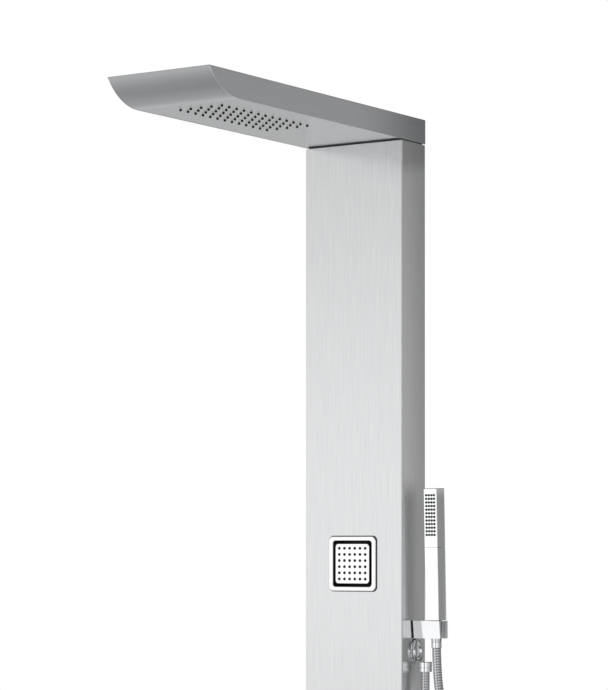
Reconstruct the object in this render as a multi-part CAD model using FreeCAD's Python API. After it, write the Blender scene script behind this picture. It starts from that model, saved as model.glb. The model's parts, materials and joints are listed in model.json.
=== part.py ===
import FreeCAD, Part
import math
import os

from FreeCAD import Vector

# Shower panel column, all sizes in millimetres.
# X is the column's right, Y points to the wall (the wall's face is Y = 0), Z is up.
# The origin is the middle of the upper wall bracket's two screw holes, on the wall's face.

# ways of making
through = 1.0                # how far a cut runs past an open side
parallel = 0.99              # least dot product of two directions that count as one
near = 0.01                  # distance within which edges count as lying in a plane
hex_sides = 6                # of screws, nuts and their holes

# column
panel_width = 180.0
panel_height = 1400.0
panel_depth = 70.0
panel_top = 149.0            # the column's top above the upper bracket's holes
shell_sheet = 1.5
shell_bend = 3.0             # outer radius of the folded edges
rear_flange = 12.0           # width of the flanges that lie on the wall
cap_thickness = 3.0
cap_corner = 2.0             # chamfer that clears the inside of the folds

# overhead arm
arm_reach = 510.0            # in front of the column
arm_height = 38.0
arm_gap = 2.0                # shadow gap between column and arm
arm_sheet = 1.2
nose_length = 71.0           # curved part of the underside
edge_reveal = 0.3            # the underside sits this far inside the side plates
spacer_inset = 4.0
spacer_rear_inset = 4.0

# rain outlet
rain_columns = 5
rain_rows = 13
rain_pitch = 18.4
rain_nose_distance = 104.0   # from the arm's front edge to the first row
rain_hole_radius = 2.3       # over the corners
rain_tip_radius = 1.9
rain_tip_proud = 1.7
rain_sides = 4
mat_thickness = 2.0
chamber_height = 20.0
chamber_half_width = 72.0
chamber_wall = 2.0
chamber_border = 12.0        # from the outer nozzle rows to the chamber's ends

# arm fixing: a hollow post with a flange, from inside the arm down into the column
post_half_width = 36.0
post_front = 56.0            # distances from the wall
post_back = 14.0
post_above = 18.0
post_below = 50.0
post_wall = 3.0
post_clearance = 0.3
flange_side = 14.0           # beyond the post at its sides
flange_ends = 6.0            # in front of the post and behind it
flange_thickness = 4.0
bolt_radius = 3.0
bolt_clearance = 0.2
bolt_head_radius = 5.5       # over the corners of heads and nuts
bolt_head_height = 4.0

# water pipes
pipe_radius = 6.0
pipe_wall_distance = 30.0    # pipe axes in front of the wall
riser_x = -62.0
handset_pipe_x = 62.0
jet_pipe_wall_distance = 12.0
pipe_clearance = 1.0
fitting_half = 11.0          # half width of the block fittings
fitting_height = 22.0

# body jets
jet_names = ("upper", "lower")
jet_depths = {"upper": 658.0, "lower": 924.0}    # centre below the column's top
bezel_half = 44.0
bezel_radius = 8.0
bezel_proud = 3.5
jet_opening_half = 36.0
jet_opening_radius = 5.0
jet_cup_wall = 1.2
jet_cup_clearance = 0.5      # around the cup in the column's front
cup_corner = 4.0             # chamfer of the cup's outside
retainer_thickness = 3.0
jet_floor_distance = 40.0    # back of the cup's floor from the wall
jet_floor = 2.0
jet_stem_radius = 10.0
jet_stem_end = 20.0          # end of the cup's stem from the wall
tee_half = 10.0
tee_depth = 18.0
spray_half = 31.25
spray_radius = 5.0
spray_setback = 0.5          # spray plate behind the bezel's front
spray_depth = 8.0
spray_face = 2.0
spray_wall = 1.5
spray_count = 6
spray_pitch = 9.65
spray_tip_radius = 1.6
spray_tip_proud = 1.0
spray_sides = 4
ball_radius = 8.0
ball_distance = 54.5         # ball centre from the wall
ball_clearance = 0.1
ball_sides = 12              # the hidden ball joint is made of flat faces
ball_bands = (-0.75, -0.45, 0.0, 0.45, 0.8, 0.97)    # rings of its corners, as shares of its radius
seat_wall = 1.3
seat_half_width = 3.0
seat_land = 1.0              # half width of the band that the socket guides
socket_wall = 2.5
socket_lip = 0.8
socket_lip_offset = 4.7      # lip behind the ball's centre
stud_neck_radius = 3.5
stud_flange_radius = 7.0
stud_flange = 2.0
hidden_sides = 12            # of round pieces inside the column, which have flat faces

# bar handset
handset_x = 37.0             # axis right of the column's side
handset_wall_distance = 28.5
handset_width = 24.0
handset_thickness = 24.0
handset_top_depth = 540.5    # below the column's top
handset_bottom_depth = 746.0
handset_seam = 91.5          # below the handset's top
handset_seam_gap = 0.5
handset_edge = 1.0
handset_wall = 2.0
handset_lean = 1.9           # degrees, forwards
handset_columns = 4
handset_rows = 12
handset_pitch = 5.6
handset_first_row = 10.5     # below the handset's top
handset_tip_radius = 1.0
handset_tip_proud = 0.8
neck_length = 9.0
neck_clearance = 0.1
spigot_radius = 8.5
spigot_length = 9.0

# hose and its holder
cone_gap = 1.0               # handset's end to the cone nut
cone_top_radius = 11.2
cone_bottom_radius = 7.9
cone_taper_length = 30.0
cone_straight = 12.0
cone_sides = 24
ferrule_radius = 5.5         # the hose's end, which the cone nut turns on
ferrule_length = 9.0
ferrule_clearance = 0.08
holder_length = 50.0
holder_height = 27.4
holder_half_depth = 13.0
holder_draft = 3.0           # the front's lower edge lies this much further back
holder_slot = 15.0
holder_gap = 0.8             # below the handset
socket_clearance = 0.3
holder_screw_radius = 2.5
holder_screw_x = 16.0        # length inside the holder
holder_screw_spacing = 14.0
holder_screw_head = 3.0
screw_clearance = 0.1
hose_radius = 7.0            # over the corners of its sides
hose_sides = 6
bend_share = 0.45

# outlet elbow
elbow_depth = 795.0          # centre below the column's top
elbow_x = 18.0               # axis of its outlet right of the column's side
elbow_radius = 9.5
elbow_bend = 12.0
elbow_sides = 16
elbow_end = 4.0              # straight length below the bend
elbow_tail = 16.0            # length inside the column
elbow_tail_radius = 9.9
rosette_radius = 20.0
rosette_thickness = 4.0
rosette_sides = 32
end_nut_radius = 10.5
end_nut_length = 16.0
lock_nut_thickness = 4.0
lock_nut_across = 14.0

# controls
diverter_depth = 1074.0      # centres below the column's top
temperature_depth = 1214.0
sleeve_radius = 17.0
sleeve_clearance = 0.3
sleeve_sides = 24
cartridge_radius = 13.0
cartridge_length = 32.0
spindle_radius = 4.0
spindle_clearance = 0.08
spindle_length = 22.0        # behind the column's front
spindle_gap = 1.0            # behind its end
spindle_passage = 1.5        # around it in the escutcheon
escutcheon_half = 31.0
escutcheon_thickness = 4.5
escutcheon_radius = 6.0
knob_half = 23.0
knob_depth = 24.0
knob_corner = 2.0
knob_gap = 0.5
knob_chamfer = 1.0
knob_mark_width = 2.0
knob_mark_length = 15.0
knob_mark_depth = 0.8
button_half_width = 5.0
button_half_depth = 4.0
button_clearance = 0.3
button_pocket = 6.0
button_height = 5.5
button_proud = 2.0
control_nut_across = 23.0
control_nut_thickness = 4.0
diverter_half_width = 74.0
diverter_half_height = 18.0
diverter_front = 46.0
diverter_back = 4.0
valve_half_width = 72.0
valve_half_depth = 15.0
valve_half_height = 18.0
inlet_x = 52.0
inlet_radius = 10.48         # G 1/2 male thread
inlet_end = 3.0              # the inlets end this far in front of the wall

# wall fixings
bracket_top_distance = 149.0       # upper bracket's holes below the column's top
bracket_foot_distance = 81.0       # lower bracket's holes above the column's foot
bracket_half_width = 65.0
bracket_sheet = 2.0
bracket_below = 22.0         # plate below the holes
bracket_step = 8.0           # holes to the seat of the hanger
bracket_offset = 5.0         # free depth behind the hook
bracket_lip = 16.0
bracket_hole_spacing = 100.0
bracket_hole_radius = 3.0
hanger_sheet = 2.0
hanger_wall_gap = 3.0
hanger_height = 20.0
hanger_depth = 10.0
hanger_leg = 24.0

# heights and depths that follow
column_bottom = panel_top - panel_height
column_front = -panel_depth
column_side = panel_width / 2
inner_side = column_side - shell_sheet
inner_front = column_front + shell_sheet
inner_back = -shell_sheet
arm_bottom = panel_top + arm_gap
arm_top = arm_bottom + arm_height
arm_front = column_front - arm_reach
underside_face = arm_bottom + edge_reveal
underside_top = underside_face + arm_sheet
nose_radius = (nose_length ** 2 + arm_height ** 2) / (2 * arm_height)
nose_start = arm_front + nose_length
nose_centre = arm_bottom + nose_radius
pipe_y = -pipe_wall_distance
jet_pipe_y = -jet_pipe_wall_distance
jet_heights = {name: panel_top - jet_depths[name] for name in jet_names}
bracket_heights = {"upper": panel_top - bracket_top_distance, "lower": column_bottom + bracket_foot_distance}
diverter_z = panel_top - diverter_depth
temperature_z = panel_top - temperature_depth
elbow_z = panel_top - elbow_depth
hose_outlet_x = column_side + elbow_x
handset_axis_x = column_side + handset_x
handset_y = -handset_wall_distance
handset_top = panel_top - handset_top_depth
handset_bottom = panel_top - handset_bottom_depth
seam_z = handset_top - handset_seam
holder_top = handset_bottom - holder_gap
cone_top = handset_bottom - cone_gap
cone_bottom = cone_top - cone_taper_length - cone_straight
chamber_top = underside_top + chamber_height
feed_z = chamber_top - chamber_wall - pipe_radius
seat_radius = ball_radius + ball_clearance
seat_outer = seat_radius + seat_wall
socket_radius = seat_outer + ball_clearance
ball_y = -ball_distance
bezel_front = column_front - bezel_proud
post_y = -(post_front + post_back) / 2
bolt_x = (-post_half_width - flange_side / 2, post_half_width + flange_side / 2)
spray_front = bezel_front + spray_setback
spray_back = spray_front + spray_depth
cup_half = jet_opening_half + jet_cup_wall
escutcheon_front = column_front - escutcheon_thickness
knob_back = escutcheon_front - knob_gap
knob_front = knob_back - knob_depth

# The hose's route from the outlet's nut down, round and up to the cone nut: x, y and z.
hose_points = [
    (108.0, -30.0, -678.0),
    (108.0, -30.0, -724.0),
    (106.6, -31.0, -799.0),
    (105.0, -33.5, -915.0),
    (104.4, -37.0, -1050.0),
    (103.6, -41.0, -1194.0),
    (105.0, -43.5, -1277.0),
    (121.5, -45.5, -1318.0),
    (151.0, -47.5, -1344.0),
    (189.0, -49.0, -1353.0),
    (227.0, -49.5, -1344.0),
    (256.5, -49.0, -1318.0),
    (272.5, -47.5, -1278.0),
    (274.0, -45.0, -1220.0),
    (262.0, -42.0, -1129.0),
    (232.0, -38.0, -1019.0),
    (192.0, -34.0, -907.0),
    (158.0, -30.5, -803.0),
    (137.0, -27.9, -733.0),
    (127.0, -26.1, -684.0),
    (127.0, -27.55, -640.0),
]

node_count = 0


def save(name, *solids):
    """Write the solids of one piece, or of one group of like pieces, to parts/name.step."""
    global node_count
    shape = solids[0] if len(solids) == 1 else Part.makeCompound(list(solids))
    if not shape.isValid():
        print("not valid:", name)
    shape.exportStep(f"parts/{name}.step")
    node_count += 1
    print(f"{name}: {len(shape.Solids)} solid(s), {shape.Volume / 1000:.1f} cm3")


def box(x0, x1, y0, y1, z0, z1):
    return Part.makeBox(x1 - x0, y1 - y0, z1 - z0, Vector(x0, y0, z0))


def rounded(shape, direction, radius):
    """Round the straight edges of a box that run along direction."""
    edges = [e for e in shape.Edges if abs(e.tangentAt(0).dot(direction)) > parallel]
    return shape.makeFillet(radius, edges)


def square_plate(x, z, half, front, back, radius):
    """A square prism with round corners, centred on (x, z), between two depths in Y."""
    plate = box(x - half, x + half, front, back, z - half, z + half)
    return rounded(plate, Vector(0, 1, 0), radius)


def rod(radius, start, end):
    start, end = Vector(*start), Vector(*end)
    return Part.makeCylinder(radius, (end - start).Length, start, end - start)


def ring(sides, radius, centre, axis):
    """Corners of a regular polygon across an axis: they lie on the radius."""
    centre, axis = Vector(*centre), Vector(*axis)
    across = axis.cross(Vector(0, 0, 1) if abs(axis.z) < 0.9 else Vector(0, 1, 0)).normalize()
    up = axis.cross(across).normalize()
    corners = []
    for i in range(sides):
        angle = math.pi * (2 * i + 1) / sides
        corners.append(centre + across * (radius * math.cos(angle)) + up * (radius * math.sin(angle)))
    return corners


def flat_face(corners):
    return Part.Face(Part.makePolygon(corners + corners[:1]))


def faceted(rings):
    """A solid of flat faces between rings that have the same number of corners."""
    faces = [flat_face(rings[0]), flat_face(rings[-1])]
    for lower, upper in zip(rings, rings[1:]):
        for i in range(len(lower)):
            faces.append(flat_face([lower[i - 1], lower[i], upper[i], upper[i - 1]]))
    solid = Part.Solid(Part.Shell(faces))
    if solid.Volume < 0:
        solid.reverse()
    return solid


def prism(sides, radius, start, end):
    """A regular prism from start to end: its corners lie on the radius."""
    axis = Vector(*end) - Vector(*start)
    return faceted([ring(sides, radius, point, axis) for point in (start, end)])


def hole(sides, radius, start, end):
    """A regular prism to cut with: its flats lie on the radius."""
    return prism(sides, radius / math.cos(math.pi / sides), start, end)


def pipe(start, end):
    return prism(hidden_sides, pipe_radius, start, end)


def chamfered_plate(x, z, half, front, back, corner):
    """A square prism with cut corners, centred on (x, z), between two depths in Y."""
    plate = box(x - half, x + half, front, back, z - half, z + half)
    return plate.makeChamfer(corner, [e for e in plate.Edges if abs(e.tangentAt(0).y) > parallel])


def extrude_wire(wire, x0, x1):
    solid = Part.Face(wire).extrude(Vector(x1 - x0, 0, 0))
    if solid.Volume < 0:
        solid.reverse()
    return solid


def extrude_profile(points, x0, x1):
    """Extrude a closed outline in Y and Z, whose corners are points, from x0 to x1."""
    corners = [Vector(x0, y, z) for y, z in points]
    return extrude_wire(Part.makePolygon(corners + corners[:1]), x0, x1)


def grid(columns, rows, pitch):
    """Offsets of a grid of nozzles: columns are centred, rows count from zero."""
    first = -(columns - 1) / 2 * pitch
    return [(first + i * pitch, j * pitch) for j in range(rows) for i in range(columns)]


# ---- column ----

def column_section(inset, radius):
    """The folded column's outline, moved in by inset, as a solid of the column's height."""
    solid = box(-column_side + inset, column_side - inset, column_front + inset, -inset,
                column_bottom, panel_top)
    return rounded(solid, Vector(0, 0, 1), radius)


def make_column():
    shell = column_section(0, shell_bend)
    shell = shell.cut(column_section(shell_sheet, shell_bend - shell_sheet))
    rear_gap = column_side - rear_flange
    shell = shell.cut(box(-rear_gap, rear_gap, inner_back, 0, column_bottom, panel_top))
    cuts = []
    opening = cup_half + jet_cup_clearance
    for name in jet_names:
        z = jet_heights[name]
        cuts.append(box(-opening, opening, column_front, inner_front, z - opening, z + opening))
    for z in (diverter_z, temperature_z):
        cuts.append(hole(sleeve_sides, sleeve_radius + sleeve_clearance, (0, column_front, z),
                         (0, inner_front, z)))
    cuts.append(hole(hidden_sides, elbow_tail_radius + sleeve_clearance, (inner_side, pipe_y, elbow_z),
                     (column_side, pipe_y, elbow_z)))
    for z in holder_screw_heights():
        cuts.append(hole(hex_sides, holder_screw_radius + screw_clearance, (inner_side, handset_y, z),
                         (column_side, handset_y, z)))
    save("column_shell", shell.cut(cuts))

    cap = box(-inner_side, inner_side, inner_front, inner_back, panel_top - cap_thickness, panel_top)
    cap = cap.makeChamfer(cap_corner, [e for e in cap.Edges if abs(e.tangentAt(0).z) > parallel])
    save("bottom_cap", cap.translated(Vector(0, 0, cap_thickness - panel_height)))
    save("top_cap", cap.cut(arm_openings(panel_top - cap_thickness, panel_top)))


def arm_openings(z0, z1):
    """Clearance for the riser pipe, for the arm's post and for its bolts."""
    pipe_half = pipe_radius + pipe_clearance
    post_half = post_half_width + post_clearance
    riser = box(riser_x - pipe_half, riser_x + pipe_half, pipe_y - pipe_half, pipe_y + pipe_half, z0, z1)
    post = box(-post_half, post_half, -post_front - post_clearance, -post_back + post_clearance, z0, z1)
    return [riser, post] + bolt_holes(z0, z1)


def holder_screw_heights():
    middle = holder_top - holder_height / 2
    return (middle - holder_screw_spacing / 2, middle + holder_screw_spacing / 2)


def make_wall_fixings():
    """A bracket on the wall with a hook, and the column's hanger that drops behind the hook."""
    for name, z in bracket_heights.items():
        seat = z + bracket_step
        hook = -bracket_offset - bracket_sheet
        outline = [
            (0, z - bracket_below), (0, seat), (-bracket_offset, seat),
            (-bracket_offset, seat + bracket_lip), (hook, seat + bracket_lip),
            (hook, seat - bracket_sheet), (-bracket_sheet, seat - bracket_sheet),
            (-bracket_sheet, z - bracket_below),
        ]
        bracket = extrude_profile(outline, -bracket_half_width, bracket_half_width)
        half = bracket_hole_spacing / 2
        holes = [rod(bracket_hole_radius, (x, -bracket_sheet, z), (x, 0, z)) for x in (-half, half)]
        save(f"{name}_wall_bracket", bracket.cut(holes))

        top = seat + hanger_height
        rear = -hanger_wall_gap
        front = rear - hanger_depth
        outline = [
            (rear, seat), (rear, top), (front, top), (front, top - hanger_leg),
            (front + hanger_sheet, top - hanger_leg), (front + hanger_sheet, top - hanger_sheet),
            (rear - hanger_sheet, top - hanger_sheet), (rear - hanger_sheet, seat),
        ]
        save(f"{name}_hanger_bar", extrude_profile(outline, -inner_side, inner_side))


# ---- overhead arm ----

def nose_point(radius, angle):
    """A point on an arc about the nose's centre: its angle is zero at the flat underside."""
    return nose_start - radius * math.sin(angle), nose_centre - radius * math.cos(angle)


def nose_arc(radius, angle, x):
    points = [Vector(x, *nose_point(radius, angle * share)) for share in (0, 0.5, 1)]
    return Part.Arc(*points).toShape()


def line(x, start, end):
    return Part.LineSegment(Vector(x, *start), Vector(x, *end)).toShape()


def make_arm():
    """The shell's sides, lid and rear, welded together, and the bent sheet of underside and nose."""
    rear = (0, arm_bottom)
    rear_top = (0, arm_top)
    tip_angle = math.acos((nose_centre - arm_top) / nose_radius)
    edges = [
        line(-column_side, rear, nose_point(nose_radius, 0)),
        nose_arc(nose_radius, tip_angle, -column_side),
        line(-column_side, nose_point(nose_radius, tip_angle), rear_top),
        line(-column_side, rear_top, rear),
    ]
    solid = extrude_wire(Part.Wire(edges), -column_side, column_side)
    inside = column_side - arm_sheet
    side = column_side + through
    front = arm_front - through
    below = arm_bottom - through
    above = arm_top + through
    lid_face = arm_top - arm_sheet
    sheets = [
        box(-side, -inside, front, through, below, above),
        box(inside, side, front, through, below, above),
        box(-inside, inside, front, through, lid_face, above),
        box(-inside, inside, -arm_sheet, through, below, lid_face),
    ]
    save("arm_shell", *[solid.common(sheet) for sheet in sheets])

    outer = nose_radius - edge_reveal
    inner = outer - arm_sheet
    outer_angle = math.acos((nose_centre - arm_top + arm_sheet) / outer)
    inner_angle = math.acos((nose_centre - arm_top + arm_sheet) / inner)
    bottom_rear = (-arm_sheet, underside_face)
    top_rear = (-arm_sheet, underside_top)
    edges = [
        line(-inside, bottom_rear, nose_point(outer, 0)),
        nose_arc(outer, outer_angle, -inside),
        line(-inside, nose_point(outer, outer_angle), nose_point(inner, inner_angle)),
        nose_arc(inner, inner_angle, -inside),
        line(-inside, nose_point(inner, 0), top_rear),
        line(-inside, top_rear, bottom_rear),
    ]
    sheet = extrude_wire(Part.Wire(Part.__sortEdges__(edges)), -inside, inside)
    holes = []
    for x, y in rain_places():
        holes.append(prism(rain_sides, rain_hole_radius, (x, y, underside_face), (x, y, underside_top)))
    save("arm_underside", sheet.cut(holes + arm_openings(underside_face, underside_top)))


def rain_places():
    first = arm_front + rain_nose_distance
    return [(x, first + y) for x, y in grid(rain_columns, rain_rows, rain_pitch)]


def make_rain_outlet():
    """The chamber's lid and four walls, welded together, the nozzle mat in it and its water pipes."""
    first = arm_front + rain_nose_distance - chamber_border
    last = first + (rain_rows - 1) * rain_pitch + 2 * chamber_border
    front = first + chamber_wall
    back = last - chamber_wall
    inside = chamber_half_width - chamber_wall
    lid_face = chamber_top - chamber_wall
    save("rain_chamber",
         box(-chamber_half_width, chamber_half_width, first, last, lid_face, chamber_top),
         box(-chamber_half_width, chamber_half_width, first, front, underside_top, lid_face),
         box(-chamber_half_width, chamber_half_width, back, last, underside_top, lid_face),
         box(-chamber_half_width, -inside, front, back, underside_top, lid_face),
         box(inside, chamber_half_width, front, back, underside_top, lid_face))

    mat = box(-inside, inside, front, back, underside_top, underside_top + mat_thickness)
    tips = [prism(rain_sides, rain_tip_radius, (x, y, underside_face - rain_tip_proud),
                  (x, y, underside_top)) for x, y in rain_places()]
    save("rain_nozzle_mat", mat.fuse(tips))

    elbow_front = pipe_y - fitting_half
    save("riser_elbow", box(riser_x - fitting_half, riser_x + fitting_half, elbow_front,
                            pipe_y + fitting_half, underside_top, underside_top + fitting_height))
    save("arm_feed_pipe", pipe((riser_x, last, feed_z), (riser_x, elbow_front, feed_z)))
    save("riser_pipe", pipe((riser_x, pipe_y, diverter_z + diverter_half_height),
                           (riser_x, pipe_y, underside_top)))


def bolt_holes(z0, z1):
    """Clearance for the two bolts beside the arm's post."""
    return [hole(hex_sides, bolt_radius + bolt_clearance, (x, post_y, z0), (x, post_y, z1)) for x in bolt_x]


def make_arm_fixing():
    """The dark spacer, and the post whose flange is bolted down to the column's top."""
    side = column_side - spacer_inset
    spacer = box(-side, side, column_front + spacer_inset, -spacer_rear_inset,
                 panel_top, underside_face)
    save("arm_spacer", spacer.cut(arm_openings(panel_top, underside_face)))

    inside = post_half_width - post_wall
    flange_top = underside_top + flange_thickness
    post = box(-post_half_width, post_half_width, -post_front, -post_back,
               panel_top - post_below, underside_top + post_above)
    flange = box(-post_half_width - flange_side, post_half_width + flange_side,
                 -post_front - flange_ends, -post_back + flange_ends, underside_top, flange_top)
    hollow = box(-inside, inside, post_wall - post_front, -post_wall - post_back,
                 panel_top - post_below, underside_top + post_above)
    save("arm_post", post.fuse(flange).cut([hollow] + bolt_holes(underside_top, flange_top)))

    nut_face = panel_top - cap_thickness
    bolts = []
    for x in bolt_x:
        heights = (nut_face - bolt_head_height, nut_face, flange_top, flange_top + bolt_head_height)
        nut, shank, head = [prism(hex_sides, radius, (x, post_y, z0), (x, post_y, z1)) for radius, z0, z1 in
                            zip((bolt_head_radius, bolt_radius, bolt_head_radius), heights, heights[1:])]
        bolts.append(shank.fuse([nut, head]))
    save("arm_bolts", *bolts)


# ---- body jets ----

def ball(x, y, z):
    """The stud's ball, flat at its front: its corners lie on its radius."""
    rings = []
    for share in ball_bands:
        offset = share * ball_radius
        rings.append(ring(ball_sides, math.sqrt(ball_radius ** 2 - offset ** 2),
                          (x, y + offset, z), (0, 1, 0)))
    return faceted(rings)


def make_jet(name):
    z = jet_heights[name]
    bezel = square_plate(0, z, bezel_half, bezel_front, column_front, bezel_radius)
    bezel = bezel.cut(square_plate(0, z, jet_opening_half, bezel_front, column_front,
                                   jet_opening_radius))
    save(f"{name}_jet_bezel", bezel)

    floor_back = -jet_floor_distance
    floor_front = floor_back - jet_floor
    cup = chamfered_plate(0, z, cup_half, column_front, floor_back, cup_corner)
    cup = cup.cut(square_plate(0, z, jet_opening_half, column_front, floor_front, jet_opening_radius))
    cup = cup.fuse(prism(hidden_sides, jet_stem_radius, (0, floor_back, z), (0, -jet_stem_end, z)))
    save(f"{name}_jet_housing", cup)

    retainer_back = inner_front + retainer_thickness
    retainer = chamfered_plate(0, z, bezel_half, inner_front, retainer_back, cup_corner)
    retainer = retainer.cut(chamfered_plate(0, z, cup_half, inner_front, retainer_back, cup_corner))
    save(f"{name}_jet_retainer", retainer)

    flange_face = floor_front - stud_flange
    stud = ball(0, ball_y, z).fuse([
        prism(ball_sides, stud_neck_radius, (0, ball_y, z), (0, flange_face, z)),
        prism(ball_sides, stud_flange_radius, (0, flange_face, z), (0, floor_front, z)),
    ])
    save(f"{name}_jet_ball_stud", stud)

    ends = (ball_y - seat_half_width, ball_y - seat_land, ball_y + seat_land, ball_y + seat_half_width)
    end_radius = math.sqrt(seat_outer ** 2 - seat_half_width ** 2)
    radii = (end_radius, seat_outer, seat_outer, end_radius)
    seat = faceted([ring(ball_sides, r, (0, y, z), (0, 1, 0)) for y, r in zip(ends, radii)])
    seat = seat.cut(hole(ball_sides, seat_radius, (0, ends[0], z), (0, ends[-1], z)))
    save(f"{name}_jet_ball_seat", seat)

    face_back = spray_front + spray_face
    plate_back = spray_back - spray_wall
    lip_front = ball_y + socket_lip_offset
    lip_back = lip_front + socket_lip
    head = chamfered_plate(0, z, spray_half, face_back, spray_back, spray_radius)
    head = head.cut(chamfered_plate(0, z, spray_half - spray_wall, face_back, plate_back,
                                    spray_radius))
    head = head.fuse(prism(ball_sides, socket_radius + socket_wall, (0, spray_back, z),
                           (0, lip_back, z)))
    head = head.cut([
        hole(ball_sides, socket_radius, (0, spray_back, z), (0, lip_front, z)),
        hole(ball_sides, ball_radius + ball_clearance, (0, lip_front, z), (0, lip_back, z)),
    ])
    save(f"{name}_jet_head", head)

    save(f"{name}_jet_face", square_plate(0, z, spray_half, spray_front, face_back, spray_radius))
    middle = (spray_count - 1) / 2 * spray_pitch
    tips = [prism(spray_sides, spray_tip_radius, (x, spray_front - spray_tip_proud, z + up - middle),
                  (x, spray_front, z + up - middle))
            for x, up in grid(spray_count, spray_count, spray_pitch)]
    save(f"{name}_jet_nozzles", *tips)


def make_jet_feed():
    """A pipe behind the jets, joined at each jet by a block that the jet's stem meets."""
    tees, pipes = [], []
    start = diverter_z + diverter_half_height
    for name in reversed(jet_names):
        z = jet_heights[name]
        tees.append(box(-tee_half, tee_half, -jet_stem_end, tee_depth - jet_stem_end,
                        z - tee_half, z + tee_half))
        pipes.append(pipe((0, jet_pipe_y, start), (0, jet_pipe_y, z - tee_half)))
        start = z + tee_half
    save("jet_tees", *tees)
    save("jet_feed_pipe", *pipes)


# ---- handset, holder and hose ----

def leaning(shape):
    """Tilt a piece of the handset forwards about the middle of the holder."""
    turned = shape.copy()
    pivot = Vector(handset_axis_x, handset_y, holder_top - holder_height / 2)
    turned.rotate(pivot, Vector(1, 0, 0), handset_lean)
    return turned


def handset_box(inset, z0, z1):
    """A box about the handset's axis, inset from its four sides."""
    half_x = handset_width / 2 - inset
    half_y = handset_thickness / 2 - inset
    return box(handset_axis_x - half_x, handset_axis_x + half_x, handset_y - half_y,
               handset_y + half_y, z0, z1)


def make_handset():
    upright = Vector(0, 0, 1)
    front = handset_y - handset_thickness / 2
    head = rounded(handset_box(0, seam_z, handset_top), upright, handset_edge)
    head = head.cut(handset_box(handset_wall, seam_z, handset_top - handset_wall))
    save("handset_head", leaning(head))

    tips = []
    for x, down in grid(handset_columns, handset_rows, handset_pitch):
        z = handset_top - handset_first_row - down
        tips.append(leaning(prism(spray_sides, handset_tip_radius,
                                  (handset_axis_x + x, front - handset_tip_proud, z),
                                  (handset_axis_x + x, front, z))))
    save("handset_nozzles", *tips)

    handle_top = seam_z - handset_seam_gap
    handle = rounded(handset_box(0, handset_bottom, handle_top), upright, handset_edge)
    neck = handset_box(handset_wall + neck_clearance, handle_top, seam_z + neck_length)
    save("handset_handle", leaning(handle.fuse(neck)))
    save("handset_spigot", leaning(prism(cone_sides, spigot_radius,
                                         (handset_axis_x, handset_y, handset_bottom - spigot_length),
                                         (handset_axis_x, handset_y, handset_bottom))))


def cone_solid(extra, top):
    """The cone nut's outside, grown by extra and carried up to the height top."""
    taper_end = cone_top - cone_taper_length
    slope = (cone_top_radius - cone_bottom_radius) / cone_taper_length
    levels = ((cone_bottom, cone_bottom_radius), (taper_end, cone_bottom_radius),
              (top, cone_top_radius + slope * (top - cone_top)))
    return faceted([ring(cone_sides, radius + extra, (handset_axis_x, handset_y, z), (0, 0, 1))
                    for z, radius in levels])


def make_hose_end():
    thread_end = handset_bottom - spigot_length - neck_clearance
    thread = hole(cone_sides, spigot_radius + neck_clearance, (handset_axis_x, handset_y, thread_end),
                  (handset_axis_x, handset_y, cone_top))
    ends = ((handset_axis_x, handset_y, cone_bottom),
            (handset_axis_x, handset_y, cone_bottom + ferrule_length))
    bore = hole(hidden_sides, ferrule_radius + ferrule_clearance, *ends)
    save("hose_cone_nut", leaning(cone_solid(0, cone_top).cut([thread, bore])))
    save("hose_ferrule", leaning(prism(hidden_sides, ferrule_radius, *ends)))


def make_holder():
    holder_bottom = holder_top - holder_height
    front = handset_y - holder_half_depth
    back = handset_y + holder_half_depth
    right = column_side + holder_length
    outline = [(front, holder_top), (back, holder_top), (back, holder_bottom),
               (front + holder_draft, holder_bottom)]
    block = extrude_profile(outline, column_side, right)
    socket = leaning(cone_solid(socket_clearance, holder_top + through))
    slot = box(handset_axis_x, right, handset_y - holder_slot / 2, handset_y + holder_slot / 2,
               holder_bottom, holder_top)
    screws, bores = [], []
    for z in holder_screw_heights():
        ends = (column_side, handset_y, z), (column_side + holder_screw_x, handset_y, z)
        bores.append(hole(hex_sides, holder_screw_radius + screw_clearance, *ends))
        shank = prism(hex_sides, holder_screw_radius, (inner_side, handset_y, z), ends[1])
        head = prism(hex_sides, 2 * holder_screw_radius, (inner_side - holder_screw_head, handset_y, z),
                     (inner_side, handset_y, z))
        screws.append(shank.fuse(head))
    save("handset_holder", block.cut([socket, slot] + bores))
    save("holder_screws", *screws)


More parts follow.
